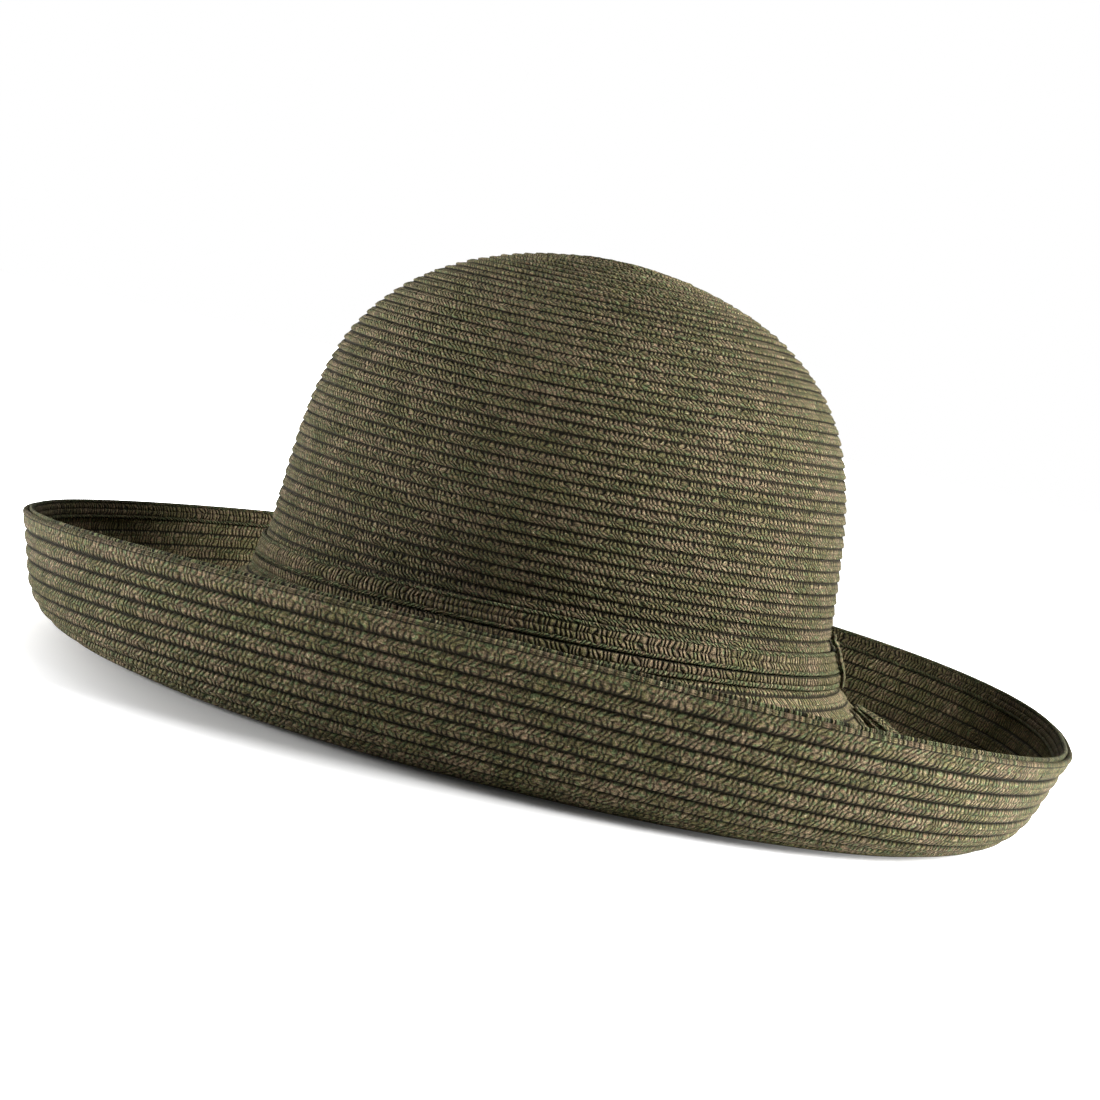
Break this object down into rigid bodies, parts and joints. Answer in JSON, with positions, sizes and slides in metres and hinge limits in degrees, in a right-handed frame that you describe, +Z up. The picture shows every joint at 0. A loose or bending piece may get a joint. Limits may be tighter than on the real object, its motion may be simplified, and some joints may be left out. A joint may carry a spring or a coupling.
{
  "type": "kettle brim sun hat",
  "caption": "Sun hat sewn from flat braid: a round crown, a brim that turns up all round, a two-row braid band and a tie at the back.",
  "frame": {"origin": "on the surface that the hat rests on, under the middle of the rim", "axes": "+Z up through the crown, -Y to the front of the hat, +Y to the tie at the back, +X to the wearer's left"},
  "size_m": [0.32, 0.366, 0.159],
  "materials": {
    "crown": "narrow overlapping courses of olive and taupe melange braid, matt",
    "brim": "overlapping courses of the same melange braid, ribbed below, matt",
    "rim_braid": "one full width of the braid, matt",
    "band_wide_row": "full width of the braid, green headings and a taupe middle, matt",
    "band_narrow_row": "the braid half covered by the wide row, matt",
    "tie_wrap": "narrow strip of the braid, matt",
    "tie_tail_left": "narrow strip of the braid, frayed at its end",
    "tie_tail_right": "narrow strip of the braid, frayed at its end"
  },
  "bodies": {
    "root": {"crown": "crown", "brim": "brim", "rim_braid": "rim_braid", "band_wide_row": "band_wide_row", "band_narrow_row": "band_narrow_row", "tie_wrap": "tie_wrap", "tie_tail_left": "tie_tail_left", "tie_tail_right": "tie_tail_right"}
  },
  "joints": []
}
